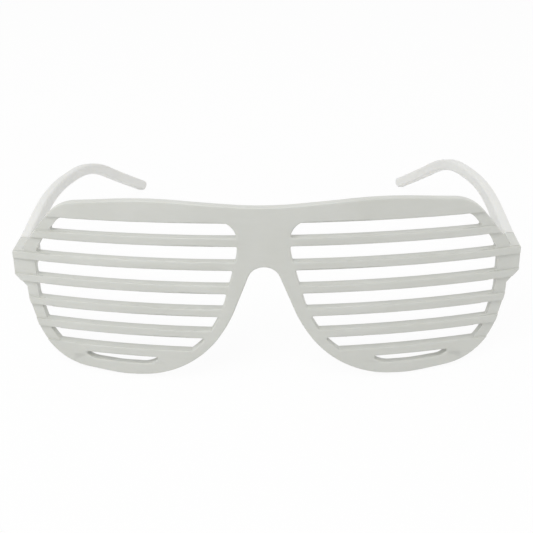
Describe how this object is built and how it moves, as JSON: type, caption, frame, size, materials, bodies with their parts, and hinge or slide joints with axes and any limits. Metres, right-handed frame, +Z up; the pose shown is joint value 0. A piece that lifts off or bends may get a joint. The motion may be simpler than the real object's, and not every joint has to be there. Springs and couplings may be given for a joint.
{
  "type": "slatted novelty glasses",
  "caption": "Slatted novelty glasses: a bent one-piece front slit into horizontal bars, nose rests moulded on its back, and two arms folding on screwed hinges.",
  "frame": {"origin": "middle of the box round the open glasses, on the table that they stand on", "axes": "+X to the wearer's left, +Y from the front back along the open arms, +Z up from the table; the front faces -Y and leans back 12 degrees"},
  "size_m": [0.15, 0.1344, 0.0528],
  "materials": {
    "front_plastic": "opaque off-white moulded polystyrene, satin gloss",
    "arm_plastic": "opaque off-white moulded polystyrene, satin gloss",
    "screw_steel": "small plated steel screw, bright"
  },
  "bodies": {
    "front": {"front_frame": "front_plastic", "left_hinge_screw": "screw_steel", "right_hinge_screw": "screw_steel"},
    "left_arm": {"left_temple": "arm_plastic"},
    "right_arm": {"right_temple": "arm_plastic"}
  },
  "joints": [
    {"name": "left_arm_fold", "type": "hinge", "parent": "front", "child": "left_arm", "pos_m": [0.0715, -0.03801, 0.02844], "axis": [0, 0, 1], "range_deg": [0, 90]},
    {"name": "right_arm_fold", "type": "hinge", "parent": "front", "child": "right_arm", "pos_m": [-0.0715, -0.03801, 0.02844], "axis": [0, 0, -1], "range_deg": [0, 80]}
  ]
}
